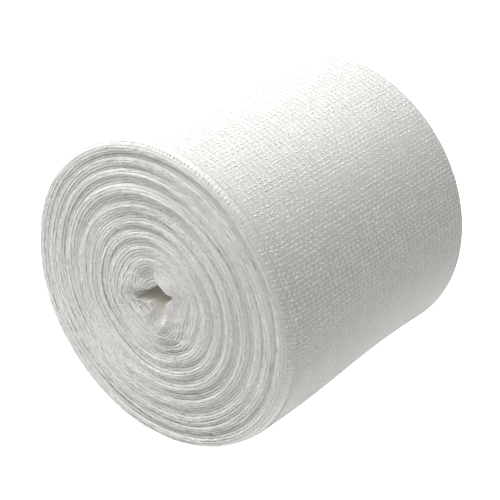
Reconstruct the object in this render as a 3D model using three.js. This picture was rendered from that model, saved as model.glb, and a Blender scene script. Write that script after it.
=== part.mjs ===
// A gauze bandage roll: one long strip of open cotton gauze, folded to four plies and wound up
// without a core, lying on its side.
//
// Millimetres, +Z up. The roll's axis runs along Y and the end that shows its turns best faces -Y.
// The origin lies straight below the middle of the axis, on the surface the roll rests on.
// A direction round the axis is in degrees, 0 at the top and 90 towards +X.
import * as THREE from "three";

// The roll as a whole
const STRIP_WIDTH = 100;
const ROLL_RADIUS = 54;
const TURN_PITCH = 0.95; // what one turn of the folded strip adds to the radius
const TAIL_DIRECTION = 250; // where the outer end of the strip lies, low on the side towards -X
const TAIL_SLOPE = 4; // the folded, pressed-down end slopes over this many degrees
const REST_SINK = 1; // how far the soft underside is pressed flat
const AXIS_HEIGHT = ROLL_RADIUS - REST_SINK;

// The outer turns lie loosely low on the +X side, and their front edge is drawn in there
const LOOSE_DIRECTION = 134;
const LOOSE_SPAN = 48; // how far the loose part reaches either way, in degrees
const LOOSE_WAVE = 0.6; // bulge of the loose cloth near the front, hollow of it near the back
const DIP_DIRECTION = 168;
const DIP_SPAN = 40;
const DIP_DEPTH = 0.9; // the front edge is pressed in beside the resting spot
const WAVE_HEIGHT = 0.2; // shallow waves all round the side

// The hollow left where the roll was drawn off its winding spindle and fell in
const HOLLOW_MIDDLE = { x: 1.1, up: 1.7 };
const HOLLOW_OUTLINE = [
  { direction: 8, reach: 4.2 },
  { direction: 42, reach: 4.6 },
  { direction: 73, reach: 7.9 },
  { direction: 101, reach: 4.0 },
  { direction: 133, reach: 4.3 },
  { direction: 160, reach: 8.4 },
  { direction: 178, reach: 10.6 },
  { direction: 197, reach: 8.2 },
  { direction: 222, reach: 4.4 },
  { direction: 241, reach: 8.0 },
  { direction: 254, reach: 11.4 },
  { direction: 268, reach: 7.4 },
  { direction: 300, reach: 4.2 },
  { direction: 336, reach: 3.9 },
];
const CRUMPLE_RADIUS = 19.6; // the turns inside this radius are pushed in with the hollow

// Folds of the innermost turns, echoing the hollow. share runs from its rim, 0, to CRUMPLE_RADIUS, 1
const CRUMPLES = [
  { share: 0, proud: -1.8 },
  { share: 0.16, proud: 0.3 },
  { share: 0.34, proud: -0.7 },
  { share: 0.52, proud: 0.6 },
  { share: 0.7, proud: -0.5 },
  { share: 0.86, proud: 0.5 },
];

// The winding wandered sideways, so rings of turns stand proud of the front end or are sunk in it,
// and the back end shows the same rings the other way round
const RINGS = [
  { radius: 20.4, proud: -1.2 },
  { radius: 22.2, proud: 0.9 },
  { radius: 24.8, proud: -1.2 },
  { radius: 27.0, proud: 0.8 },
  { radius: 29.4, proud: -1.3 },
  { radius: 32.0, proud: 0.9 },
  { radius: 34.0, proud: -1.0 },
  { radius: 35.6, proud: -1.2 },
  { radius: 38.0, proud: 1.1 },
  { radius: 40.3, proud: -1.2 },
  { radius: 41.4, proud: -1.0 },
  { radius: 43.4, proud: 0.7 },
  { radius: 45.1, proud: -0.5 },
  { radius: 46.8, proud: 0.6 },
  { radius: 49.1, proud: -2.2 },
  { radius: 50.8, proud: -0.3 },
  { radius: 52.2, proud: -0.2 },
];

// The soft outer edge between an end and the side
const EDGE_ROUND = 2.4;
const EDGE_STEPS = 2;
const EDGE_PULL = 3.4; // how much further the front edge is drawn in where the cloth is loose

const COLUMNS = 90; // steps round the roll
const SIDE_STEPS = 9; // steps along its side

const toRadians = THREE.MathUtils.degToRad;

// 1 at the middle direction, falling smoothly to 0 at span degrees from it
function nearness(direction, middle, span) {
  const away = Math.abs(((direction - middle + 540) % 360) - 180);
  return away >= span ? 0 : 0.5 + 0.5 * Math.cos((Math.PI * away) / span);
}

// The hollow's reach in any direction, eased between the outline's rows
function hollowReach(direction) {
  const turned = ((direction % 360) + 360) % 360;
  const rows = HOLLOW_OUTLINE.length;
  const next = HOLLOW_OUTLINE.findIndex((row) => row.direction > turned);
  const after = HOLLOW_OUTLINE[next < 0 ? 0 : next];
  const before = HOLLOW_OUTLINE[(next < 0 ? rows - 1 : next - 1 + rows) % rows];
  const gap = (after.direction - before.direction + 360) % 360;
  const along = ((turned - before.direction + 360) % 360) / gap;
  const eased = 0.5 - 0.5 * Math.cos(Math.PI * along);
  return before.reach + (after.reach - before.reach) * eased;
}

// How much of the outer turn has gone round since the turn below left the tail: 0 to 1
function turnShare(direction) {
  return ((direction - TAIL_DIRECTION + 720) % 360) / 360;
}

// The lasting unevenness of the side; along is -1 at the front end and 1 at the back
function slack(direction, along) {
  const loose = nearness(direction, LOOSE_DIRECTION, LOOSE_SPAN);
  const flank = -LOOSE_WAVE * loose * Math.sin(Math.PI * along);
  const dip = -DIP_DEPTH * nearness(direction, DIP_DIRECTION, DIP_SPAN) * (0.5 - 0.5 * along);
  const waves = WAVE_HEIGHT * Math.sin(3 * toRadians(direction) - 1.2) * Math.cos(Math.PI * along);
  return flank + dip + waves;
}

// The radius of the outer surface
function sideRadius(direction, along) {
  return ROLL_RADIUS + TURN_PITCH * (turnShare(direction) - 0.5) + slack(direction, along);
}

// How strongly the rings show in a direction
function ringStrength(direction) {
  const round = toRadians(direction);
  return 1 + 0.18 * Math.sin(round + 0.9) + 0.1 * Math.sin(3 * round);
}

// How far the outer edge is drawn in; end is -1 for the front end and 1 for the back
function edgeDepth(direction, end) {
  const pull = end < 0 ? EDGE_PULL * nearness(direction, LOOSE_DIRECTION, LOOSE_SPAN) : 0;
  return EDGE_ROUND + pull;
}

// A point from its direction, radius and place along the axis; the underside is pressed flat
function pointAt(direction, radius, y) {
  const round = toRadians(direction);
  const height = Math.max(0, AXIS_HEIGHT + radius * Math.cos(round));
  return new THREE.Vector3(radius * Math.sin(round), y, height);
}

// A point on the rim of the hollow
function hollowPoint(direction, y) {
  const round = toRadians(direction);
  const reach = hollowReach(direction);
  const height = AXIS_HEIGHT + HOLLOW_MIDDLE.up + reach * Math.cos(round);
  return new THREE.Vector3(HOLLOW_MIDDLE.x + reach * Math.sin(round), y, height);
}

// One end of the roll in one direction, from the hollow out to the side
function endProfile(direction, end) {
  const plane = (end * STRIP_WIDTH) / 2;
  const points = [];
  const rim = hollowPoint(direction, plane);
  const crumpleEdge = pointAt(direction, CRUMPLE_RADIUS, plane);
  for (const fold of CRUMPLES) {
    const point = rim.clone().lerp(crumpleEdge, fold.share);
    point.y += end * fold.proud;
    points.push(point);
  }
  for (const ring of RINGS) {
    points.push(pointAt(direction, ring.radius, plane - ring.proud * ringStrength(direction)));
  }
  const lastRing = RINGS[RINGS.length - 1];
  const depth = edgeDepth(direction, end);
  const outer = sideRadius(direction, end);
  for (let step = 1; step <= EDGE_STEPS; step += 1) {
    const quarter = (Math.PI / 2) * (step / EDGE_STEPS);
    const radius = lastRing.radius + (outer - lastRing.radius) * Math.sin(quarter);
    points.push(pointAt(direction, radius, plane - end * depth * (1 - Math.cos(quarter))));
  }
  return points;
}

// The closed outline of the wound cloth in one direction: front end, side, back end, hollow
function outline(direction) {
  const front = endProfile(direction, -1);
  const back = endProfile(direction, 1).reverse();
  const from = front[front.length - 1].y;
  const to = back[0].y;
  const side = [];
  for (let step = 1; step < SIDE_STEPS; step += 1) {
    const y = from + ((to - from) * step) / SIDE_STEPS;
    side.push(pointAt(direction, sideRadius(direction, (2 * y) / STRIP_WIDTH), y));
  }
  return [...front, ...side, ...back];
}

// The wound strip as one closed solid: outlines all round the axis, joined into a ring
function woundStrip() {
  const outlines = Array.from({ length: COLUMNS }, (_, column) => {
    const turned = ((360 - TAIL_SLOPE) * column) / (COLUMNS - 1);
    return outline(TAIL_DIRECTION + TAIL_SLOPE / 2 + turned);
  });
  const rows = outlines[0].length;
  const positions = outlines.flat().flatMap((point) => point.toArray());
  const index = [];
  for (let column = 0; column < COLUMNS; column += 1) {
    const here = column * rows;
    const next = ((column + 1) % COLUMNS) * rows;
    for (let row = 0; row < rows; row += 1) {
      const up = (row + 1) % rows;
      index.push(here + row, next + row, next + up);
      index.push(here + row, next + up, here + up);
    }
  }
  const geometry = new THREE.BufferGeometry();
  geometry.setAttribute("position", new THREE.Float32BufferAttribute(positions, 3));
  geometry.setIndex(index);
  geometry.computeVertexNormals();
  return geometry;
}

const bleachedCotton = new THREE.MeshStandardMaterial({
  color: 0xeeeeea,
  roughness: 0.92,
  metalness: 0,
});

const roll = new THREE.Mesh(woundStrip(), bleachedCotton);
roll.name = "gauze_roll";

const group = new THREE.Group();
group.add(roll);
export default group;
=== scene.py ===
import math

import bpy
import numpy as np
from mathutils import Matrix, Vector


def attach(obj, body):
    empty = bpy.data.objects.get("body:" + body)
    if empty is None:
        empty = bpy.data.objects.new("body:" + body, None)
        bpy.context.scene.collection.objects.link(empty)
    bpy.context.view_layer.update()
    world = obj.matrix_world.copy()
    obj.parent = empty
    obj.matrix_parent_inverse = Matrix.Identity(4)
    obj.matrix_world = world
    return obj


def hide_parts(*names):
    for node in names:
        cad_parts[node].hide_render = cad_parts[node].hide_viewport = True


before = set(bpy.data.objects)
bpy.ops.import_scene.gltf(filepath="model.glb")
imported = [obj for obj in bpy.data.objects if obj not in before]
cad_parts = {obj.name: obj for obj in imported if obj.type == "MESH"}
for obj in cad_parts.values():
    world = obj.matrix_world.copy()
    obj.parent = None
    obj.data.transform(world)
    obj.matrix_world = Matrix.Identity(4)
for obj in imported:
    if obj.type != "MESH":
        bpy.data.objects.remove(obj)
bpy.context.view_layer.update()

MM = 0.001
TURN = 2 * math.pi

# The roll, as in the solid
STRIP_WIDTH = 100 * MM
HALF_WIDTH = STRIP_WIDTH / 2
ROLL_RADIUS = 54 * MM
TURN_PITCH = 0.95 * MM
TAIL_DIRECTION = math.radians(250)
AXIS_HEIGHT = ROLL_RADIUS - 1 * MM  # the soft underside is pressed flat by 1 mm
UNDERSIDE_LIFT = 0.16 * MM  # the flat underside is drawn this far off the floor, for its threads
SIDE_WAVES = 0.2  # shallow waves all round the side

# Where the outer turns lie loosely, and where the front edge is pressed in
LOOSE = {"direction": 134, "span": 48, "wave": 0.6}
DIP = {"direction": 168, "span": 40, "depth": 0.4}

# The front end's outer band: direction, the radius where its edge starts to round over, how far
# the edge then drops, the radius and depth of the groove inside it, how proud the band stands
FRONT_EDGE = [
    (0, 50.9, 3.0, 49.1, 1.15, 0.0), (30, 51.0, 3.0, 50.0, 1.25, 0.0), (60, 50.6, 3.2, 49.4, 0.9, -0.1),
    (100, 50.2, 3.8, 48.2, 0.9, 0.0), (134, 51.0, 4.4, 49.0, 0.85, 0.2), (160, 52.0, 2.6, 49.3, 1.0, 0.4),
    (185, 52.5, 1.6, 49.5, 1.1, 0.5), (215, 52.6, 1.4, 49.6, 0.5, 0.6), (250, 52.6, 1.4, 49.4, 0.2, 0.7),
    (290, 52.2, 1.8, 49.3, 0.6, 0.6), (325, 51.4, 2.4, 49.1, 0.85, 0.3),
]
START, DROP, GROOVE, DEPTH, PROUD = range(1, 6)
GROOVE_WIDTH = 1.05 * MM
BAND_RISE = 1.6 * MM  # the band comes up over this distance outside the groove
BAND_LOWERED = 0.14  # past the edge it lies this much lower, under the threads
BACK_START = 52.8 * MM  # the back end's edge is the same all round
BACK_DROP = 1.2 * MM

# The hollow round its own middle: direction, then its reach at the rim and further in, where its
# lower slot has closed
HOLLOW_MIDDLE = (0.5 * MM, 1.0 * MM)
HOLLOW = [
    (3, 3.5, 3.2), (55, 4.2, 3.8), (76, 7.0, 6.2), (94, 4.4, 4.0), (110, 3.7, 3.4), (129, 4.6, 3.4),
    (150, 7.2, 3.2), (164, 9.2, 3.0), (175, 9.5, 3.0), (184, 9.0, 2.9), (192, 6.4, 2.8),
    (201, 3.4, 2.6), (222, 3.0, 2.4), (238, 5.2, 4.2), (249, 8.8, 7.2), (257, 10.2, 8.4),
    (265, 8.2, 6.8), (273, 5.6, 4.8), (292, 3.6, 3.2), (314, 3.2, 3.0),
]
HOLLOW_RIM = [(direction, rim) for direction, rim, _ in HOLLOW]
HOLLOW_DEEP = [(direction, deep) for direction, _, deep in HOLLOW]
HOLLOW_DEEP_FROM = 4.5 * MM  # the deeper outline is reached this far in from an end
HOLLOW_STEPS = np.array([0, 0.4, 1, 1.8, 3, 4.2, 5.5, 8, 14, 25]) * MM
HOLLOW_SHADING = (-0.01, 0.04)  # painted shade darkens its wall between these shares of the strip's width
CRUMPLE_RADIUS = 19.6 * MM  # the turns inside this radius are pushed in with the hollow

# Rings of turns that stand proud of the front end, or are sunk in it: radius, proud
RINGS = [
    (6.0, -0.9), (8.0, 0.3), (10.6, -0.2), (13.1, 0.4), (15.5, -0.3), (17.6, 0.3), (20.2, -0.8),
    (22.2, 0.9), (24.8, -1.2), (27.0, 0.8), (29.4, -1.3), (32.0, 0.9), (34.0, -1.0),
    (35.6, -1.2), (38.0, 1.1), (40.3, -1.2), (41.4, -1.0), (43.4, 0.7), (45.1, -0.5), (46.8, 0.5),
    (48.4, 0.0), (55.0, 0.0),
]
RING_STRENGTH = 0.6  # the rings are softened by the fuzz of the cloth, the outer groove isn't
RING_LEAN = 0.16  # they are this much stronger on one side and weaker on the other
RING_LEAN_PHASE = 0.9
RING_BLURS = [
    {"direction": 222, "span": 40, "share": 0.45},
    {"direction": 42, "span": 36, "share": 0.4},
]
RING_MIDDLE = (-1.25 * MM, -0.5 * MM)  # the rings' middle lies to the left of the axis and below it
RING_SHIFT_STARTS = (12 * MM, 20 * MM)  # the shift comes in between these radii
RING_SHIFT_ENDS = (43 * MM, 47 * MM)  # and is gone past these, so the outermost rings are true

# Turns buckled into small waves round the hollow
BUCKLES = [
    {"direction": 292, "radius": 12.0, "reach": 3.4, "span": 24, "depth": 0.38, "length": 4.4},
    {"direction": 232, "radius": 12.5, "reach": 3.2, "span": 20, "depth": 0.3, "length": 4.4},
    {"direction": 138, "radius": 13.6, "reach": 4.0, "span": 24, "depth": 0.42, "length": 6.0},
    {"direction": 62, "radius": 12.0, "reach": 3.0, "span": 20, "depth": 0.25, "length": 4.6},
]
BUCKLES_START = (6.5, 9)  # they come in between these radii
BACK_BUCKLES_TURNED = 40  # and lie this far round from there on the back end

# Soft hollows and swellings of the end's middle: x, up, radius, proud
SWELLINGS = [
    (-3.3, 7.8, 3.0, -1.2), (6.0, 8.0, 4.0, 0.6), (-8.5, 3.5, 3.2, 0.4),
    (9.0, -5.0, 4.0, 0.5), (-5.0, -7.0, 3.5, 0.4), (1.5, -13.5, 3.5, 0.5),
]

# The folded edges of the turns on both ends
TURNS = 50  # the crumpled ones round the hollow included
TURN_STEPS = 200  # steps round one turn
FOLD_PLACES = np.array([0, 0.06, 0.16, 0.3, 0.43, 0.5, 0.6, 0.76, 0.9])
FOLD_GROOVE = 0.7  # depth of the groove between two turns
FOLD_ROUNDNESS = 0.55  # the lower, the flatter a fold is on top and the sharper the groove
FOLD_NICK = 0.26  # depth of the nick between the two folds of a turn
NICK_WIDTH = 0.1  # as a share of the turns' pitch
TURN_SLIP = 0.2 * MM  # how far stretches of a turn slipped sideways as it was wound
SLIPS_A_TURN = 7
SLIP_STARTS = (8 * MM, 18 * MM)  # the slip comes to its whole between these radii
SLIP_LEAST = 0.4  # from this share of it in the crumpled turns
TURN_WANDER = 0.13 * MM  # how far a turn strays from an even spiral
TURN_DRIFT = 0.22  # how far the height of neighbouring turns changes slowly
LOOSENED_RADII = (46 * MM, 53 * MM)  # the turns follow the loose side between these radii
LOOP_UNEVENNESS = 0.11 * MM  # the wefts turn back at the fold in loops that don't line up
BAND_FLATTENED = 0.6  # the folds on the outer band are this much lower
END_SHADES = {"fold": 0.3, "ring": 0.45, "band": 0.12, "band_on_flank": 0.4}  # how much painted shade each can give

# The weave: 7 wefts and 8 warps to the centimetre, the warps drawn together in pairs
WEFTS = 229
WEFTS_LOW = 115  # the wefts up to this one are one piece, and the rest another
FIRST_WARP = -40
LAST_WARP = 40
EDGE_CROWDING = 0.6  # the pitch left between the warps that the front edge pushes together
WARP_PITCH = 1.2 * MM
WARP_PAIRING = 0.2 * MM  # how far each warp of a pair leans towards the other
WARP_PAIRING_RANGE = (0.5, 1.1)
WARP_SWAY = 0.12 * MM
WEFT_THICKNESS = 0.57 * MM
WARP_THICKNESS = 0.5 * MM
WEFT_WIDTH_RANGE = (0.5, 1.6)  # the narrowest and widest stretches, as shares of the thickness
WARP_WIDTH_RANGE = (0.7, 1.4)
THREAD_SIDES = 3
FLATNESS = 0.02  # a thread's height as a share of its width
CRIMP = 0.015 * MM  # how far a thread rises and dips as it crosses the others
WEFT_RISE = {"even": 0.8, "uneven": 0.4}  # in crimps: the same at each crossing, and at random
WARP_RISE = {"even": 0.6, "uneven": 0.6}
CLOSE_CROSSINGS = 0.6  # how much of the rise is left where the weave is close
THREAD_SHADE = {"close": 0.25, "open": 0.75}  # painted shade on a dipping thread, and more on the flank turned from the light
WEFT_STRAY = 0.09  # how far a weft lies out of its row, as a share of the rows' pitch
WEFT_SWAY = 0.1 * MM
WEFT_KINK = 0.1 * MM  # how far a weft bends aside between one warp and the next
WEFT_PUSH = 0.09 * MM  # and how far it is pushed aside at random
WEFT_SINK = 0.0095 * MM  # how deep the wefts are pressed into the plies under them
WEFT_BEADING = 0.34  # how much wider a weft is where it rides over a warp
WEFT_SWELL = 0.16  # how much its width changes slowly
WEFT_KNOTS = 0.26  # and from one crossing to the next
WARP_SWELL = 0.15
WEFT_STEPS = 194  # steps along a weft between the two edges
WEFT_EDGE_ANGLES = np.radians([20, 38, 55, 73, 90])  # a weft's points round the outer edge
WEFT_TUCK = 0.4 * MM  # how deep its ends go into the end faces
OPEN_WEAVE_AND_SHADE = {"direction": 76, "span": 62}  # where the weave is drawn most open, and where the painted shade on the flank is strongest

# The wefts bend round towards the top beside the front edge
BOW = {"direction": 75, "span": 60}
BOW_DEPTH = 1.5 * MM
BOW_LEAST = 0.35  # the share of the bend that is there all round
BOW_START = 2.4 * MM  # it is whole up to this far in from the front end
BOW_FADE = 3.2 * MM  # and dies away over about this distance past that

# Two warps drawn apart in the middle of the side
PARTING = {"direction": 70, "span": 50, "y": 0.6, "width": 0.75, "reach": 2.2}

# The warps' loose ends at the tail
FRAY_STEPS = 6
FRAY_LENGTH = 4 * MM  # the longest end
FRAY_RANGE = (0.15, 1)  # the shortest and longest, as shares of it
FRAY_FAN = 0.35  # how far an end strays sideways, as a share of its length
FRAY_SLOPE = 0.45  # how steeply it comes down on the turn below
FRAY_DROP = 0.7 * TURN_PITCH  # and how far
FRAY_THINNED = 0.6
FRAY_THINS_OVER = 1.2 * MM

# The surface under the threads
UNDER_COLUMNS = 300
UNDER_STEPS = 60
UNDER_EDGE_ANGLES = np.radians([52, 64, 77, 90])
UNDER_TUCK = 0.55 * MM
UNDER_LIFT = -0.01 * MM
TAIL_SLOPE = 0.0024  # the share of a turn over which the tail slopes down
TAIL_SLOPE_MIDDLE = 0.55  # how much of the turn's height is left half way down


# Small helpers

def nearness(direction, middle, span):
    """1 at middle, falling smoothly to 0 at span from it; all in radians."""
    away = np.abs((direction - middle + math.pi) % TURN - math.pi)
    return np.where(away < span, 0.5 + 0.5 * np.cos(math.pi * np.minimum(away / span, 1)), 0)


def near_spot(direction, spot):
    """The nearness to a spot that is given by its direction and span in degrees."""
    return nearness(direction, math.radians(spot["direction"]), math.radians(spot["span"]))


def smooth(low, high, value):
    """0 below low and 1 above high, eased between them."""
    share = np.clip((value - low) / (high - low), 0, 1)
    return share * share * (3 - 2 * share)


def wander(direction, across, seed, waves=7, knots=9, scale=4 * MM):
    """Smooth unevenness between about -1 and 1, over a direction and a distance."""
    random = np.random.default_rng(seed)
    total = np.zeros(np.broadcast(direction, across).shape)
    for _ in range(waves):
        count = random.integers(1, knots)
        drift = random.uniform(-1, 1) / scale
        total = total + np.sin(count * direction + drift * across + random.uniform(0, TURN))
    return total / math.sqrt(waves)


def eased_table(rows, value, period=None):
    """Reads a table of (place, amount), eased between its rows."""
    places = np.array([row[0] for row in rows], float)
    amounts = np.array([row[1] for row in rows], float)
    if period:
        places = np.concatenate([places[-1:] - period, places, places[:1] + period])
        amounts = np.concatenate([amounts[-1:], amounts, amounts[:1]])
        value = (value - places[0]) % period + places[0]
    index = np.clip(np.searchsorted(places, value, side="right") - 1, 0, len(places) - 2)
    share = np.clip((value - places[index]) / (places[index + 1] - places[index]), 0, 1)
    eased = 0.5 - 0.5 * np.cos(math.pi * share)
    return amounts[index] + (amounts[index + 1] - amounts[index]) * eased


# The roll's form

def turn_share(direction):
    """How much of the outer turn has gone round since the turn below left the tail."""
    return ((direction - TAIL_DIRECTION) % TURN) / TURN


def slack(direction, along):
    """The lasting unevenness of the side; along is -1 at the front end and 1 at the back."""
    flank = -LOOSE["wave"] * near_spot(direction, LOOSE) * np.sin(math.pi * along)
    dip = -DIP["depth"] * near_spot(direction, DIP) * (0.5 - 0.5 * along)
    waves = SIDE_WAVES * np.sin(3 * direction - 1.2) * np.cos(math.pi * along)
    return (flank + dip + waves) * MM


def side_radius(direction, along, share=None):
    """The radius of the outer surface."""
    share = turn_share(direction) if share is None else share
    return ROLL_RADIUS + TURN_PITCH * (share - 0.5) + slack(direction, along)


def front_edge(direction, column):
    """One column of the front edge's table, eased round the roll."""
    rows = [(row[0], row[column]) for row in FRONT_EDGE]
    return eased_table(rows, np.degrees(direction), period=360) * MM


def edge_start(direction, end):
    """The radius where the outer edge starts to round over at the front end, -1, or the back, 1."""
    return front_edge(direction, START) if end < 0 else BACK_START + 0 * direction


def edge_depth(direction, end):
    """How far the outer edge is drawn in at the front end, -1, or at the back, 1."""
    return front_edge(direction, DROP) if end < 0 else BACK_DROP + 0 * direction


def place(direction, radius, y):
    """Points from a direction, a radius and a place along the axis; the underside is flat."""
    height = np.maximum(AXIS_HEIGHT + radius * np.cos(direction), UNDERSIDE_LIFT)
    x = radius * np.sin(direction)
    return np.stack(np.broadcast_arrays(x, y, height), axis=-1)


def inner_radius():
    """The radius at which the first turn starts, before it is crumpled."""
    return ROLL_RADIUS + TURN_PITCH * (0.5 - TURNS - 1)


def buckled(direction, radius, end):
    """The radius of a turn with the small waves round the hollow."""
    for buckle in BUCKLES:
        middle = math.radians(buckle["direction"] + (0 if end < 0 else BACK_BUCKLES_TURNED))
        near = np.exp(-(((radius / MM - buckle["radius"]) / buckle["reach"]) ** 2))
        near = near * smooth(*BUCKLES_START, radius / MM)
        near = near * nearness(direction, middle, math.radians(2 * buckle["span"]))
        phase = (direction - middle) * buckle["radius"] / buckle["length"] * TURN
        radius = radius + buckle["depth"] * MM * near * np.sin(phase)
    return radius


def wound_place(direction, radius, end):
    """Where a turn lies in the plane of an end: round outside, crumpled near the hollow."""
    radius = buckled(direction, radius, end)
    rim_radius = inner_radius()
    share = np.clip((radius - rim_radius) / (CRUMPLE_RADIUS - rim_radius), 0, None)
    reach = eased_table(HOLLOW_RIM, np.degrees(direction), period=360) * MM
    rim_x = HOLLOW_MIDDLE[0] + reach * np.sin(direction)
    rim_up = HOLLOW_MIDDLE[1] + reach * np.cos(direction)
    edge_x = CRUMPLE_RADIUS * np.sin(direction)
    edge_up = CRUMPLE_RADIUS * np.cos(direction)
    inside = share < 1
    x = np.where(inside, rim_x + (edge_x - rim_x) * share, radius * np.sin(direction))
    up = np.where(inside, rim_up + (edge_up - rim_up) * share, radius * np.cos(direction))
    return x, up


def ring_height(direction, radius):
    """How far the rings of turns stand proud, in millimetres."""
    shift = RING_MIDDLE[0] * np.sin(direction) + RING_MIDDLE[1] * np.cos(direction)
    shift = shift * (1 - smooth(*RING_SHIFT_ENDS, radius))
    rings = eased_table(RINGS, (radius - shift * smooth(*RING_SHIFT_STARTS, radius)) / MM)
    blurred = sum(blur["share"] * near_spot(direction, blur) for blur in RING_BLURS)
    lean = RING_LEAN * np.sin(direction + RING_LEAN_PHASE)
    return rings * ((1 + lean - blurred) * RING_STRENGTH)


def swelling_height(x, up):
    """How far the end's middle swells out or is pressed in, in millimetres."""
    swelling = 0
    for middle_x, middle_up, reach, proud in SWELLINGS:
        distance = np.hypot(x / MM - middle_x, up / MM - middle_up)
        swelling = swelling + proud * np.exp(-((distance / reach) ** 2))
    return swelling


def relief(direction, radius, x, up):
    """How far the turns stand proud of the front end."""
    groove = front_edge(direction, GROOVE)
    band = front_edge(direction, PROUD) * smooth(0, BAND_RISE, radius - groove)
    band = band - front_edge(direction, DEPTH) * np.exp(-(((radius - groove) / GROOVE_WIDTH) ** 2))
    past_edge = radius - front_edge(direction, START)
    drift = TURN_DRIFT * wander(direction, radius, seed=11, knots=6, scale=3 * MM)
    drift = drift * (1 - smooth(-1 * MM, 0.3 * MM, past_edge))
    drift = drift - BAND_LOWERED * smooth(0.2 * MM, 1.6 * MM, past_edge)
    return (ring_height(direction, radius) + swelling_height(x, up) + drift) * MM + band


# Building meshes

def make_piece(name, points, quads, material, uv, shaded, flat=None):
    """A smooth mesh from arrays, with a map in metres and how much painted shade each point carries.
    Faces that flat picks out aren't smoothed."""
    mesh = bpy.data.meshes.new(name)
    mesh.vertices.add(len(points))
    mesh.vertices.foreach_set("co", np.ascontiguousarray(points, np.float32).ravel())
    mesh.loops.add(quads.size)
    mesh.loops.foreach_set("vertex_index", quads.astype(np.int32).ravel())
    mesh.polygons.add(len(quads))
    mesh.polygons.foreach_set("loop_start", np.arange(0, quads.size, quads.shape[1], dtype=np.int32))
    mesh.update(calc_edges=True)
    mesh.validate()
    layer = mesh.uv_layers.new(name="strip_metres")
    layer.data.foreach_set("uv", np.ascontiguousarray(uv[quads.ravel()], np.float32).ravel())
    attribute = mesh.attributes.new("shaded", "FLOAT", "POINT")
    attribute.data.foreach_set("value", np.ascontiguousarray(shaded, np.float32).ravel())
    smoothed = np.ones(len(quads), dtype=bool) if flat is None else ~flat
    mesh.polygons.foreach_set("use_smooth", smoothed)
    mesh.materials.append(material)
    piece = bpy.data.objects.new(name, mesh)
    bpy.context.scene.collection.objects.link(piece)
    return piece


def grid_quads(rows, columns, close_rows=False, close_columns=False):
    """The quads of a grid of points, joined round where asked."""
    row = np.arange(rows if close_rows else rows - 1)[:, None]
    column = np.arange(columns if close_columns else columns - 1)[None, :]
    next_row = (row + 1) % rows
    next_column = (column + 1) % columns
    corners = [row * columns + column, row * columns + next_column,
               next_row * columns + next_column, next_row * columns + column]
    return np.stack(np.broadcast_arrays(*corners), axis=-1).reshape(-1, 4)


def thread_map(centres, turn):
    """The map of a row of threads: its length along each, and a strip of its own for each."""
    steps = np.linalg.norm(np.diff(centres, axis=1, prepend=centres[:, :1]), axis=-1)
    u = np.repeat(np.cumsum(steps, axis=1)[:, :, None], THREAD_SIDES, axis=2)
    own_strip = np.arange(len(centres))[:, None, None] * 10 * MM
    v = np.broadcast_to(turn / TURN * MM, u.shape) + own_strip
    return np.stack([u, v], axis=-1).reshape(-1, 2)


def make_threads(name, centres, outward, thickness, shaded, material):
    """A piece of flattened threads along rows of centres, each with a soft ridge on top and a flat
    underside. outward is each point's direction away from the roll."""
    along = np.gradient(centres, axis=1)
    along = along / np.linalg.norm(along, axis=-1, keepdims=True)
    across = np.cross(along, outward)
    across = across / np.linalg.norm(across, axis=-1, keepdims=True)
    rise = np.cross(across, along)
    turn = (np.arange(THREAD_SIDES) / THREAD_SIDES + 0.25) * TURN
    ring = (across[:, :, None] * np.cos(turn)[None, None, :, None]
            + rise[:, :, None] * np.sin(turn)[None, None, :, None] * FLATNESS)
    points = centres[:, :, None] + ring * (thickness[:, :, None, None] / 2)
    threads, steps = centres.shape[:2]
    one = grid_quads(steps, THREAD_SIDES, close_columns=True)
    quads = (np.arange(threads)[:, None, None] * steps * THREAD_SIDES + one[None]).reshape(-1, 4)
    underside = np.arange(len(quads)) % THREAD_SIDES == 1
    return make_piece(name, points.reshape(-1, 3), quads, material, thread_map(centres, turn),
                      np.repeat(shaded, THREAD_SIDES), flat=underside)


# The two ends: the folded edges of all the turns, one spiral

def fold_height(place_in_turn, turns_in):
    """The rounded folded edge of one turn, with a shallow nick between its plies."""
    groove = 1 - np.abs(np.sin(math.pi * place_in_turn)) ** FOLD_ROUNDNESS
    first = (turns_in < 1) & (place_in_turn < 0.5)
    groove = np.where(first, 0, groove)
    nick = np.exp(-(((place_in_turn - 0.5) / NICK_WIDTH) ** 2))
    return -(FOLD_GROOVE * groove + FOLD_NICK * nick) * MM


def turn_unevenness(turns_in, seed):
    """How far each stretch of a turn slipped sideways as it was wound."""
    knots = np.random.default_rng(seed).normal(0, 1, TURNS * SLIPS_A_TURN + 20)
    return np.interp(turns_in * SLIPS_A_TURN, np.arange(len(knots)), knots)


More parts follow.
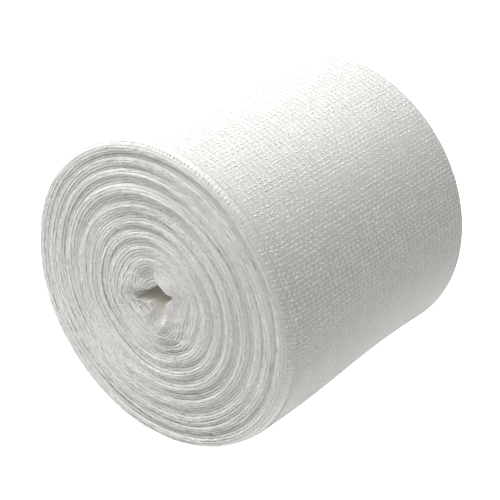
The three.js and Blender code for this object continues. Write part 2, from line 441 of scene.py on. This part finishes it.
def end_surface(end, turns_in, fold):
    """Points of one end from the turns gone in and the place in a turn, with their map in metres
    and how much painted shade they carry."""
    direction = TAIL_DIRECTION - TURN * turns_in
    outer = side_radius(direction, end, share=1 - turns_in % 1)
    radius = ROLL_RADIUS + TURN_PITCH * (0.5 - turns_in - fold)
    loosened = smooth(*LOOSENED_RADII, radius)
    radius = radius + slack(direction, end) * loosened
    radius = radius + TURN_WANDER * wander(direction, radius, seed=5) * (1 - loosened)
    x, up = wound_place(direction, radius, end)

    slipped = TURN_SLIP * (SLIP_LEAST + (1 - SLIP_LEAST) * smooth(*SLIP_STARTS, radius)) * (1 - loosened)
    proud = relief(direction, radius, x, up) + slipped * turn_unevenness(turns_in + 0 * fold, seed=3)
    start = edge_start(direction, end)
    round_share = np.clip((radius - start) / (outer - start), 0, 1)
    drop = edge_depth(direction, end) * (1 - np.sqrt(1 - np.minimum(round_share, 0.9999) ** 2))
    loops = np.random.default_rng(8 + end).normal(0, LOOP_UNEVENNESS, radius.shape)
    banded = smooth(-0.6 * MM, 1.4 * MM, radius - start)
    fold_rise = (fold_height(fold, turns_in) + loops) * (1 - BAND_FLATTENED * banded)
    y = end * HALF_WIDTH - proud + end * (fold_rise - drop)
    points = np.stack([x, y, np.maximum(AXIS_HEIGHT + up, UNDERSIDE_LIFT)], axis=-1)

    strip_length = TURN * np.cumsum(radius[:, :1], axis=0) / TURN_STEPS
    uv = np.stack([strip_length + 0 * fold, fold * TURN_PITCH + turns_in * 0], axis=-1)
    # painted shade: darker down in the folds' grooves, in the sunk rings, and on the outer band, most on
    # the flank turned from the light
    in_fold = np.clip((-fold_rise / MM - 0.3) / 0.5, 0, 1) * END_SHADES["fold"]
    in_ring = smooth(0.3 * MM, -1.4 * MM, proud) * END_SHADES["ring"]
    on_band = banded * (END_SHADES["band"] + END_SHADES["band_on_flank"] * openness_and_shade(direction))
    return points, uv, in_fold + in_ring + on_band


def spiral_quads(end, count, places):
    """The quads of a spiral of turns, each turn joined to the next one in. Past the last step of
    the turns there is one row of points more, the outer edge of the turn that isn't drawn."""
    def edge_point(index):
        return np.where(index <= count, index * places, count * places + places + index - count - 1)

    here = np.arange(count)[:, None]
    row = np.arange(places)[None, :]
    last = row == places - 1
    a = here * places + row
    b = (here + 1) * places + row
    c = np.where(last, edge_point(here + TURN_STEPS + 1), b + 1)
    d = np.where(last, edge_point(here + TURN_STEPS), a + 1)
    order = [a, d, c, b] if end < 0 else [a, b, c, d]
    return np.stack(np.broadcast_arrays(*order), axis=-1).reshape(-1, 4)


def end_face(end, name, material):
    """One end of the roll, from the outer edge to the rim of the hollow."""
    count = TURNS * TURN_STEPS
    places = len(FOLD_PLACES)
    turns_in = (np.arange(count + TURN_STEPS + 1) / TURN_STEPS)[:, None]
    points, uv, shaded = end_surface(end, turns_in, FOLD_PLACES[None, :])

    def kept(values):
        whole = values[:count + 1].reshape((count + 1) * places, *values.shape[2:])
        return np.concatenate([whole, values[count + 1:, 0]])

    quads = spiral_quads(end, count, places)
    piece = make_piece(name, kept(points), quads, material, kept(uv), kept(shaded))
    seam = points[count, ::-1]
    rim = np.concatenate([points[count:, 0], seam[:-1]])
    return piece, rim


def hollow_wall(front_rim, back_rim, material):
    """The inner face of the first turn, from the front rim through to the back rim."""
    from_end = HOLLOW_STEPS / STRIP_WIDTH
    shares = np.concatenate([from_end, [0.5], 1 - from_end[::-1]])
    middle_x, middle_up = HOLLOW_MIDDLE[0], AXIS_HEIGHT + HOLLOW_MIDDLE[1]
    rows = []
    for share in shares:
        row = front_rim + (back_rim - front_rim) * share
        x, up = row[:, 0] - middle_x, row[:, 2] - middle_up
        degrees = np.degrees(np.arctan2(x, up))
        deep = eased_table(HOLLOW_DEEP, degrees, 360) / eased_table(HOLLOW_RIM, degrees, 360)
        closing = smooth(0, HOLLOW_DEEP_FROM / STRIP_WIDTH, min(share, 1 - share))
        narrow = 1 + (deep - 1) * closing
        rows.append(np.stack([middle_x + x * narrow, row[:, 1], middle_up + up * narrow], axis=-1))
    around = len(front_rim)
    quads = grid_quads(len(shares), around, close_columns=True)
    # painted shade, darker deeper in from the ends
    shaded = np.repeat(smooth(*HOLLOW_SHADING, np.minimum(shares, 1 - shares)), around)
    uv = np.stack([np.tile(np.arange(around) * 0.3 * MM, len(shares)),
                   np.repeat(shares * STRIP_WIDTH, around)], axis=-1)
    return make_piece("hollow_wall", np.concatenate(rows), quads, material, uv, shaded)


# The outer turn: under plies, then the threads of its outermost ply

def openness_and_shade(direction):
    """How far the weave is drawn open: most on the flank, where the strip was pulled tight. The same mask
    places painted shade on that flank, which is turned from the light.
    """
    return near_spot(direction, OPEN_WEAVE_AND_SHADE)


def side_profile(direction, share, edge_angles, side_steps, lift, tuck):
    """Points from the front edge over the side to the back edge, lifted off the surface and
    tucked under it at their ends."""
    radii, ys, outs = [], [], []
    band = front_edge(direction, PROUD)
    for end, angles in ((-1, edge_angles), (1, edge_angles[::-1])):
        outer = side_radius(direction, end, share)
        start = edge_start(direction, end)
        depth = edge_depth(direction, end)
        for angle in angles:
            out = lift - tuck * math.cos(angle) ** 3
            radii.append(start + (outer - start) * math.sin(angle) + out * math.sin(angle))
            ys.append(end * (HALF_WIDTH - depth * (1 - math.cos(angle)) + out * math.cos(angle)) - band)
            outs.append((math.sin(angle), end * math.cos(angle)))
        if end < 0:
            front = ys[-1]
            back = HALF_WIDTH - edge_depth(direction, 1) - band
            for step in range(1, side_steps):
                y = front + (back - front) * step / side_steps
                radii.append(side_radius(direction, y / HALF_WIDTH, share) + lift)
                ys.append(y)
                outs.append((1, 0))
    radius = np.stack(np.broadcast_arrays(*radii), axis=-1)
    y = np.stack(np.broadcast_arrays(*ys), axis=-1)
    return radius, y, np.array(outs)


def under_plies(material):
    """The plies below the outermost one, as one surface that the threads lie on."""
    turned = np.concatenate([np.linspace(TAIL_SLOPE, 1, UNDER_COLUMNS), [1 + TAIL_SLOPE / 2]])
    share = np.concatenate([turned[:UNDER_COLUMNS], [TAIL_SLOPE_MIDDLE]])
    direction = TAIL_DIRECTION + TURN * turned
    radius, y, _ = side_profile(direction, share, UNDER_EDGE_ANGLES, UNDER_STEPS, UNDER_LIFT, UNDER_TUCK)
    direction = direction[:, None]
    points = place(direction, radius, y).reshape(-1, 3)
    quads = grid_quads(len(direction), radius.shape[1], close_rows=True)
    around = (direction - TAIL_DIRECTION) * ROLL_RADIUS + 0 * y
    uv = np.stack([around, y], axis=-1).reshape(-1, 2)
    # painted shade in the gaps between the threads, strongest on the flank
    return make_piece("under_plies", points, quads[:, ::-1], material, uv, openness_and_shade(direction) + 0 * y)


def crossing_unevenness(random, crossing):
    """Unevenness that changes from one crossing to the next, different on every thread."""
    along = crossing - crossing.min(axis=1, keepdims=True)
    whole = np.floor(along).astype(int)
    knots = random.normal(0, 1, (len(crossing), whole.max() + 2))
    thread = np.arange(len(crossing))[:, None]
    share = along - whole
    return knots[thread, whole] * (1 - share) + knots[thread, whole + 1] * share


def crossing_strength(direction):
    """How strongly the threads bend each other where they cross: most in open weave."""
    return CLOSE_CROSSINGS + (1 - CLOSE_CROSSINGS) * openness_and_shade(direction)


def dip_shade_share(rise, direction):
    """How much painted shade a thread carries: most where it dips under another, on the flank turned from
    the light.
    """
    return smooth(0.6, -1.0, rise) * (THREAD_SHADE["close"] + THREAD_SHADE["open"] * openness_and_shade(direction))


def bow(direction, y):
    """How far the wefts bend round towards the top beside the front edge, in radians."""
    from_edge = y + HALF_WIDTH - BOW_START
    strength = BOW_LEAST + (1 - BOW_LEAST) * near_spot(direction, BOW)
    return -BOW_DEPTH / ROLL_RADIUS * strength * np.exp(-np.maximum(from_edge, 0) / BOW_FADE)


def weft_direction(random, start, y, crossing):
    """Where the points of the wefts lie round the roll, from where even ones would lie."""
    sway = WEFT_SWAY * wander(start, y, seed=31, knots=90, scale=2.5 * MM) / ROLL_RADIUS
    kink = WEFT_KINK / ROLL_RADIUS * np.sin(math.pi * crossing)
    kink = kink * wander(start, y, seed=33, knots=60, scale=5 * MM)
    pushed = WEFT_PUSH / ROLL_RADIUS * crossing_unevenness(random, crossing)
    return start + sway + kink + pushed + bow(start, y)


def weft_threads(name, first, last, material):
    """The threads along the axis, woven over and under, and turned over the edge at both ends."""
    random = np.random.default_rng(21 + first)
    number = np.arange(first, last)
    share = (number + 0.5 + random.uniform(-WEFT_STRAY, WEFT_STRAY, len(number))) / WEFTS
    start = TAIL_DIRECTION + TURN * share
    radius, y, outs = side_profile(start, share, WEFT_EDGE_ANGLES, WEFT_STEPS, 0.0, WEFT_TUCK)
    start = start[:, None]
    crossing = y / WARP_PITCH + number[:, None]
    direction = weft_direction(random, start, y, crossing)
    strength = crossing_strength(direction)
    over = np.cos(math.pi * crossing)
    pressed = 1 + 0.3 * wander(start, y, seed=35, knots=40, scale=4 * MM)
    rise = -WEFT_RISE["even"] * pressed * over
    rise = rise + WEFT_RISE["uneven"] * crossing_unevenness(random, crossing)
    radius = radius + CRIMP * strength * rise - WEFT_SINK
    outward = np.stack([outs[:, 0] * np.sin(direction), outs[:, 1] + 0 * direction,
                        outs[:, 0] * np.cos(direction)], axis=-1)
    uneven = 1 + WEFT_SWELL * wander(start, y, seed=41, knots=90, scale=3 * MM)
    uneven = uneven + WEFT_KNOTS * strength * crossing_unevenness(random, crossing)
    uneven = uneven - WEFT_BEADING * strength * pressed * over
    thickness = WEFT_THICKNESS * np.clip(uneven, *WEFT_WIDTH_RANGE)
    return make_threads(name, place(direction, radius, y), outward, thickness,
                        dip_shade_share(rise, direction), material)


def parted(direction, y):
    """Where a warp lies beside the parting, from where it would lie without one."""
    away = y / MM - PARTING["y"]
    aside = PARTING["width"] * np.sign(away) * np.exp(-np.abs(away) / PARTING["reach"])
    return y + aside * MM * near_spot(direction, PARTING)


def warp_shares(random, y):
    """How far round the outer turn each point of the warps lies, and past 1 on their loose ends."""
    share = ((np.arange(WEFTS * 2 + 3) / 2 - 1) / WEFTS)[None, :] + 0 * y
    end_length = FRAY_LENGTH * random.uniform(*FRAY_RANGE, len(y)) / (TURN * ROLL_RADIUS)
    fray = share[:, -1:] + end_length[:, None] * np.linspace(0, 1, FRAY_STEPS + 1)[1:]
    return np.concatenate([share, fray], axis=1)


def warp_threads(name, first, last, material):
    """Threads round the roll, rising and dipping over the wefts, with loose ends at the tail."""
    number = np.arange(first, last)
    random = np.random.default_rng(51 + first)
    leaning = np.where(number % 2 == 0, 1, -1) * random.uniform(*WARP_PAIRING_RANGE, len(number))
    y = (number * WARP_PITCH + WARP_PAIRING * leaning)[:, None]
    share = warp_shares(random, y)
    direction = TAIL_DIRECTION + TURN * share
    past_tail = np.clip(share - 1, 0, None) * TURN * ROLL_RADIUS
    y = parted(direction, y) + WARP_SWAY * wander(direction, y, seed=61, knots=90, scale=6 * MM)
    y = y + random.uniform(-FRAY_FAN, FRAY_FAN, len(number))[:, None] * past_tail
    band = front_edge(direction, PROUD)
    front = edge_depth(direction, -1) - HALF_WIDTH - band
    back = HALF_WIDTH - edge_depth(direction, 1) - band
    y = np.maximum(y, front + (y - FIRST_WARP * WARP_PITCH) * EDGE_CROWDING)
    crossing = share * WEFTS - 0.5 + number[:, None]
    rise = WARP_RISE["even"] * np.cos(math.pi * crossing)
    rise = rise + WARP_RISE["uneven"] * crossing_unevenness(random, crossing)
    radius = side_radius(direction, y / HALF_WIDTH, np.clip(share, 0, 1))
    radius = radius + CRIMP * crossing_strength(direction) * rise
    radius = radius - np.minimum(past_tail * FRAY_SLOPE, FRAY_DROP)
    outward = np.stack([np.sin(direction), 0 * direction, np.cos(direction)], axis=-1)
    uneven = 1 + WARP_SWELL * wander(direction, y, seed=71, knots=90, scale=2 * MM)
    thickness = WARP_THICKNESS * np.clip(uneven, *WARP_WIDTH_RANGE)
    thickness = thickness * (1 - FRAY_THINNED * smooth(0, FRAY_THINS_OVER, past_tail))
    return make_threads(name, place(direction, radius, np.clip(y, front, back)), outward, thickness,
                        dip_shade_share(rise, direction), material)


# Shader nodes

def principled(tree):
    """The Principled shader that a new material has."""
    return next(node for node in tree.nodes if node.type == "BSDF_PRINCIPLED")


def feed(tree, socket, value):
    """Links a socket to another one, or sets it to a plain value."""
    if isinstance(value, bpy.types.NodeSocket):
        tree.links.new(value, socket)
    else:
        socket.default_value = value


def add_node(tree, kind, **inputs):
    """A node with its named sockets set, or linked where a socket is given."""
    node = tree.nodes.new(kind)
    for key, value in inputs.items():
        feed(tree, node.inputs[key], value)
    return node


def use_group(tree, group, **inputs):
    """A node that runs a group, with its named sockets set or linked."""
    node = tree.nodes.new("ShaderNodeGroup")
    node.node_tree = group
    for key, value in inputs.items():
        feed(tree, node.inputs[key.replace("_", " ")], value)
    return node


def math_node(tree, operation, first, second=0.0, third=None):
    """One arithmetic node's output."""
    node = tree.nodes.new("ShaderNodeMath")
    node.operation = operation
    for socket, value in zip(node.inputs, (first, second, third)):
        if value is not None:
            feed(tree, socket, value)
    return node.outputs[0]


def colour_between(tree, first, second, factor):
    """A mix of two colours by a factor that changes over the surface."""
    node = tree.nodes.new("ShaderNodeMix")
    node.data_type = "RGBA"
    feed(tree, node.inputs[0], factor)
    for socket, colour in ((node.inputs[6], first), (node.inputs[7], second)):
        feed(tree, socket, (*colour, 1) if isinstance(colour, tuple) else colour)
    return node.outputs[2]


def shaded_value(tree):
    """How much painted shade the surface carries, from the value that each piece carries at its points.
    """
    node = tree.nodes.new("ShaderNodeAttribute")
    node.attribute_name = "shaded"
    return node.outputs["Fac"]


def strip_map(tree):
    """The two lengths of the strip's own map, in metres."""
    uv = tree.nodes.new("ShaderNodeUVMap")
    uv.uv_map = "strip_metres"
    parts = tree.nodes.new("ShaderNodeSeparateXYZ")
    tree.links.new(uv.outputs[0], parts.inputs[0])
    return parts.outputs[0], parts.outputs[1]


def add_bump(tree, shader, height, distance, strength):
    """A bump from a height, added to the one that the shader has."""
    node = add_node(tree, "ShaderNodeBump", Distance=distance, Strength=strength, Height=height)
    if shader.inputs["Normal"].is_linked:
        tree.links.new(shader.inputs["Normal"].links[0].from_socket, node.inputs["Normal"])
    tree.links.new(node.outputs[0], shader.inputs["Normal"])


def new_group(name, inputs, outputs):
    """An empty node group with float inputs, and float or colour outputs."""
    group = bpy.data.node_groups.new(name, "ShaderNodeTree")
    for label, default in inputs:
        socket = group.interface.new_socket(label, in_out="INPUT", socket_type="NodeSocketFloat")
        socket.default_value = default
    for label, kind in outputs:
        group.interface.new_socket(label, in_out="OUTPUT", socket_type=kind)
    return group, group.nodes.new("NodeGroupInput"), group.nodes.new("NodeGroupOutput")


# Finishes

BLEACHED = (0.90, 0.895, 0.87)  # clean cotton in full
THIN = (0.775, 0.77, 0.745)  # where a thread or a fold is thin
BETWEEN_FIBRES = (0.74, 0.73, 0.70)  # between the fibres of the folded edges
SHADED = (0.55, 0.53, 0.48)  # painted shade down between the turns, in the sunk rings and on the outer band
DIPPED_THREAD_SHADE = (0.66, 0.655, 0.63)  # painted shade on a thread where it dips under another
UNDERNEATH = (0.86, 0.855, 0.83)  # the plies under close weave
OPEN_WEAVE_GAP_SHADE = (0.54, 0.535, 0.51)  # painted shade in the gaps between the threads, on the flank turned from the light
HOLLOW_PAINTED_SHADE = (0.64, 0.60, 0.53)  # painted shade deep in the hollow
PAINTED_GLOW = (0.80, 0.76, 0.68)  # colour of the painted glow in the hollow
PAINTED_GLOW_STRENGTH = 0.06
MAP_WEFT_PITCH = 1.48 * MM
STREAK_DRAW = (0.12, 1, 0.12)  # the mottling is drawn out round the roll
THREAD_STEEPNESS = 4.2  # a thread's ridge comes down to nothing a quarter of the pitch away
SECOND_PLY_DEPTH = 0.3  # how far the second ply underneath lies below the first
SECOND_PLY_SLANT = 0.03


def weave_group():
    """The height of plain-woven threads over a map in metres, for the plies underneath."""
    inputs = [("Around", 0.0), ("Along", 0.0), ("Weft Pitch", MAP_WEFT_PITCH), ("Warp Pitch", MM)]
    group, given, result = new_group("gauze_weave", inputs, [("Height", "NodeSocketFloat")])
    weft = math_node(group, "DIVIDE", given.outputs["Around"], given.outputs["Weft Pitch"])
    warp = math_node(group, "DIVIDE", given.outputs["Along"], given.outputs["Warp Pitch"])
    heights = []
    for lane, crossing in ((weft, warp), (warp, weft)):
        from_middle = math_node(group, "PINGPONG", lane, 0.5)
        fall = math_node(group, "MULTIPLY", from_middle, THREAD_STEEPNESS)
        ridge = math_node(group, "MAXIMUM", math_node(group, "SUBTRACT", 1.0, fall), 0.0)
        lane_number = math_node(group, "ROUND", lane)
        turned = math_node(group, "ADD", crossing, lane_number)
        crimp = math_node(group, "COSINE", math_node(group, "MULTIPLY", turned, math.pi))
        if lane is warp:
            crimp = math_node(group, "MULTIPLY", crimp, -1.0)
        lifted = math_node(group, "MULTIPLY_ADD", crimp, 0.25, 0.75)
        heights.append(math_node(group, "MULTIPLY", ridge, lifted))
    top = math_node(group, "MAXIMUM", heights[0], heights[1])
    group.links.new(top, result.inputs["Height"])
    return group


def fibre_group():
    """Fine fibres drawn out along a strip or a thread, and the cloth's slight mottling."""
    inputs = [("Along", 0.0), ("Across", 0.0), ("Fibre Width", 0.12 * MM), ("Draw", 12.0)]
    outputs = [("Height", "NodeSocketFloat"), ("Mottle", "NodeSocketFloat")]
    group, given, result = new_group("cotton_fibre", inputs, outputs)
    across = math_node(group, "DIVIDE", given.outputs["Across"], given.outputs["Fibre Width"])
    along = math_node(group, "DIVIDE", given.outputs["Along"], given.outputs["Fibre Width"])
    along = math_node(group, "DIVIDE", along, given.outputs["Draw"])
    combined = add_node(group, "ShaderNodeCombineXYZ", X=along, Y=across)
    fine = add_node(group, "ShaderNodeTexNoise", Vector=combined.outputs[0], Scale=1.0, Detail=2.0)

    drawn = group.nodes.new("ShaderNodeVectorMath")
    drawn.operation = "MULTIPLY"
    on_object = group.nodes.new("ShaderNodeTexCoord")
    group.links.new(on_object.outputs["Object"], drawn.inputs[0])
    drawn.inputs[1].default_value = STREAK_DRAW
    wide = add_node(group, "ShaderNodeTexNoise", Vector=drawn.outputs[0], Scale=480.0, Detail=2.0)
    streaks = math_node(group, "MULTIPLY_ADD", wide.outputs[0], 2.4, -0.7)
    group.links.new(fine.outputs[0], result.inputs["Height"])
    group.links.new(streaks, result.inputs["Mottle"])
    return group


def cotton_material(name):
    """A matt, slightly fuzzy material, with its node tree and its shader."""
    material = bpy.data.materials.new(name)
    material.use_nodes = True
    shader = principled(material.node_tree)
    shader.inputs["Roughness"].default_value = 0.92
    shader.inputs["Specular IOR Level"].default_value = 0.2
    shader.inputs["Sheen Weight"].default_value = 0.25
    shader.inputs["Sheen Roughness"].default_value = 0.6
    return material, material.node_tree, shader


def folded_edge_finish(fibre, name, shade):
    """The edges of the turns: fibres drawn along the strip, and weft loops across it."""
    material, tree, shader = cotton_material(name)
    along, across = strip_map(tree)
    fibres = use_group(tree, fibre, Along=along, Across=across, Fibre_Width=0.28 * MM, Draw=3.5)
    loops = math_node(tree, "SINE", math_node(tree, "MULTIPLY", along, TURN / MAP_WEFT_PITCH))
    add_bump(tree, shader, loops, distance=0.05 * MM, strength=0.5)
    add_bump(tree, shader, fibres.outputs["Height"], distance=0.5 * MM, strength=0.8)
    streak = math_node(tree, "MULTIPLY_ADD", fibres.outputs["Height"], 4.0, -1.6)
    streaked = colour_between(tree, BLEACHED, BETWEEN_FIBRES, streak)
    mottled = colour_between(tree, streaked, THIN, fibres.outputs["Mottle"])
    # painted shade, mixed in by each point's value
    colour = colour_between(tree, mottled, shade, shaded_value(tree))
    tree.links.new(colour, shader.inputs["Base Color"])
    return material


def paint_glow_in_hollow(material):
    """A painted glow on the hollow's wall, which lightens it though it is no lamp."""
    shader = principled(material.node_tree)
    shader.inputs["Emission Color"].default_value = (*PAINTED_GLOW, 1)
    shader.inputs["Emission Strength"].default_value = PAINTED_GLOW_STRENGTH


def under_ply_finish(weave, fibre):
    """The plies under the outermost one: two weaves that don't line up."""
    material, tree, shader = cotton_material("under_ply_gauze")
    around, along = strip_map(tree)
    first = use_group(tree, weave, Around=around, Along=along)
    beside = math_node(tree, "ADD", along, 0.4 * MM)
    shifted = math_node(tree, "ADD", around, 0.6 * MM)
    slanted = math_node(tree, "MULTIPLY_ADD", along, SECOND_PLY_SLANT, shifted)
    second = use_group(tree, weave, Around=slanted, Along=beside, Weft_Pitch=1.51 * MM)
    lower = math_node(tree, "SUBTRACT", second.outputs[0], SECOND_PLY_DEPTH)
    higher = math_node(tree, "MAXIMUM", first.outputs[0], lower)
    fibres = use_group(tree, fibre, Along=around, Across=along, Fibre_Width=0.3 * MM, Draw=2.0)
    add_bump(tree, shader, higher, distance=0.3 * MM, strength=0.25)
    add_bump(tree, shader, fibres.outputs["Height"], distance=0.3 * MM, strength=0.6)
    # painted shade in the gaps between the threads on the flank
    colour = colour_between(tree, UNDERNEATH, OPEN_WEAVE_GAP_SHADE, shaded_value(tree))
    tree.links.new(colour, shader.inputs["Base Color"])
    return material


def thread_finish(fibre):
    """Soft spun cotton threads."""
    material, tree, shader = cotton_material("cotton_thread")
    along, across = strip_map(tree)
    fibres = use_group(tree, fibre, Along=along, Across=across, Fibre_Width=0.16 * MM, Draw=3.0)
    add_bump(tree, shader, fibres.outputs["Height"], distance=0.12 * MM, strength=0.6)
    mottled = colour_between(tree, BLEACHED, THIN, fibres.outputs["Mottle"])
    # painted shade where a thread dips under another
    colour = colour_between(tree, mottled, DIPPED_THREAD_SHADE, shaded_value(tree))
    tree.links.new(colour, shader.inputs["Base Color"])
    return material


# The stage

PHOTO_WIDTH = 500  # in pixels
FOCAL_LENGTH = 1356.3  # of the photograph, in its pixels
SENSOR_WIDTH = 36  # in millimetres
CAMERA_OFFSET = (4.844, -5.026, 4.121)  # from the middle of the front end, in radii of the roll
CAMERA_AIM = (-0.556, 0.680, -0.478)
FLOOR_REACH = 4000 * MM
FLOOR_COLOUR = (0.55, 0.55, 0.55, 1)
FLOOR_GLOW = 0.58  # what the cloth gets from the floor, and how much more the camera sees
FLOOR_SEEN_BRIGHTER = 0.4
SURROUND_GLOW = 0.18  # the same for what stands round the roll
SURROUND_SEEN_BRIGHTER = 0.71
WHITE = (1, 1, 1, 1)


def seen_brighter(tree, glow, more):
    """A glow that the camera sees brighter than the cloth does."""
    path = tree.nodes.new("ShaderNodeLightPath")
    return math_node(tree, "MULTIPLY_ADD", path.outputs["Is Camera Ray"], more, glow)


def make_floor():
    """A wide pale floor."""
    mesh = bpy.data.meshes.new("floor")
    corners = [(-FLOOR_REACH, -FLOOR_REACH, 0), (FLOOR_REACH, -FLOOR_REACH, 0),
               (FLOOR_REACH, FLOOR_REACH, 0), (-FLOOR_REACH, FLOOR_REACH, 0)]
    mesh.from_pydata(corners, [], [(0, 1, 2, 3)])
    floor = bpy.data.objects.new("floor", mesh)
    bpy.context.scene.collection.objects.link(floor)
    material = bpy.data.materials.new("pale_floor")
    material.use_nodes = True
    tree = material.node_tree
    shader = principled(tree)
    shader.inputs["Base Color"].default_value = FLOOR_COLOUR
    shader.inputs["Roughness"].default_value = 1.0
    shader.inputs["Emission Color"].default_value = WHITE
    glow = seen_brighter(tree, FLOOR_GLOW, FLOOR_SEEN_BRIGHTER)
    tree.links.new(glow, shader.inputs["Emission Strength"])
    mesh.materials.append(material)


def soft_light(name, position, target, size, power):
    """A large square light, turned towards a point."""
    data = bpy.data.lights.new(name, "AREA")
    data.shape = "SQUARE"
    data.size = size
    data.energy = power
    light = bpy.data.objects.new(name, data)
    light.location = position
    light.rotation_euler = (Vector(target) - Vector(position)).to_track_quat("-Z", "Y").to_euler()
    bpy.context.scene.collection.objects.link(light)


def make_camera():
    """The photograph's view: 28.5 degrees down, 39 degrees round from the roll's axis."""
    data = bpy.data.cameras.new("camera")
    data.sensor_width = SENSOR_WIDTH
    data.lens = SENSOR_WIDTH * FOCAL_LENGTH / PHOTO_WIDTH
    camera = bpy.data.objects.new("camera", data)
    front_middle = Vector((0, -HALF_WIDTH, AXIS_HEIGHT))
    camera.location = front_middle + Vector(CAMERA_OFFSET) * ROLL_RADIUS
    aim = Vector(CAMERA_AIM).normalized()
    camera.rotation_euler = aim.to_track_quat("-Z", "Y").to_euler()
    bpy.context.scene.collection.objects.link(camera)
    bpy.context.scene.camera = camera


def make_light():
    """Soft light from above on the left, a weaker one on the front end, and an even surround."""
    soft_light("top_light", position=(-0.38, -0.03, 0.93), target=(0, 0, AXIS_HEIGHT),
               size=1.2, power=19.0)
    soft_light("left_light", position=(-0.20, -0.17, 0.19),
               target=(0, -HALF_WIDTH, AXIS_HEIGHT + 0.02), size=0.2, power=0.25)
    world = bpy.data.worlds.new("surround")
    world.use_nodes = True
    tree = world.node_tree
    background = next(node for node in tree.nodes if node.type == "BACKGROUND")
    background.inputs["Color"].default_value = WHITE
    glow = seen_brighter(tree, SURROUND_GLOW, SURROUND_SEEN_BRIGHTER)
    tree.links.new(glow, background.inputs["Strength"])
    bpy.context.scene.world = world
    bpy.context.scene.view_settings.view_transform = "Standard"


def main():
    make_camera()
    make_light()
    make_floor()
    weave = weave_group()
    fibre = fibre_group()
    edge = folded_edge_finish(fibre, "folded_gauze_edge", SHADED)
    inside = folded_edge_finish(fibre, "hollow_gauze", HOLLOW_PAINTED_SHADE)
    paint_glow_in_hollow(inside)
    under = under_ply_finish(weave, fibre)
    thread = thread_finish(fibre)
    front, front_rim = end_face(-1, "front_turns", edge)
    back, back_rim = end_face(1, "back_turns", edge)
    pieces = [
        front,
        back,
        hollow_wall(front_rim, back_rim, inside),
        under_plies(under),
        weft_threads("weft_threads_low", 0, WEFTS_LOW, thread),
        weft_threads("weft_threads_high", WEFTS_LOW, WEFTS, thread),
        warp_threads("warp_threads_front", FIRST_WARP, 0, thread),
        warp_threads("warp_threads_back", 0, LAST_WARP + 1, thread),
    ]
    for piece in pieces:
        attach(piece, "root")
        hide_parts("gauze_roll")


main()
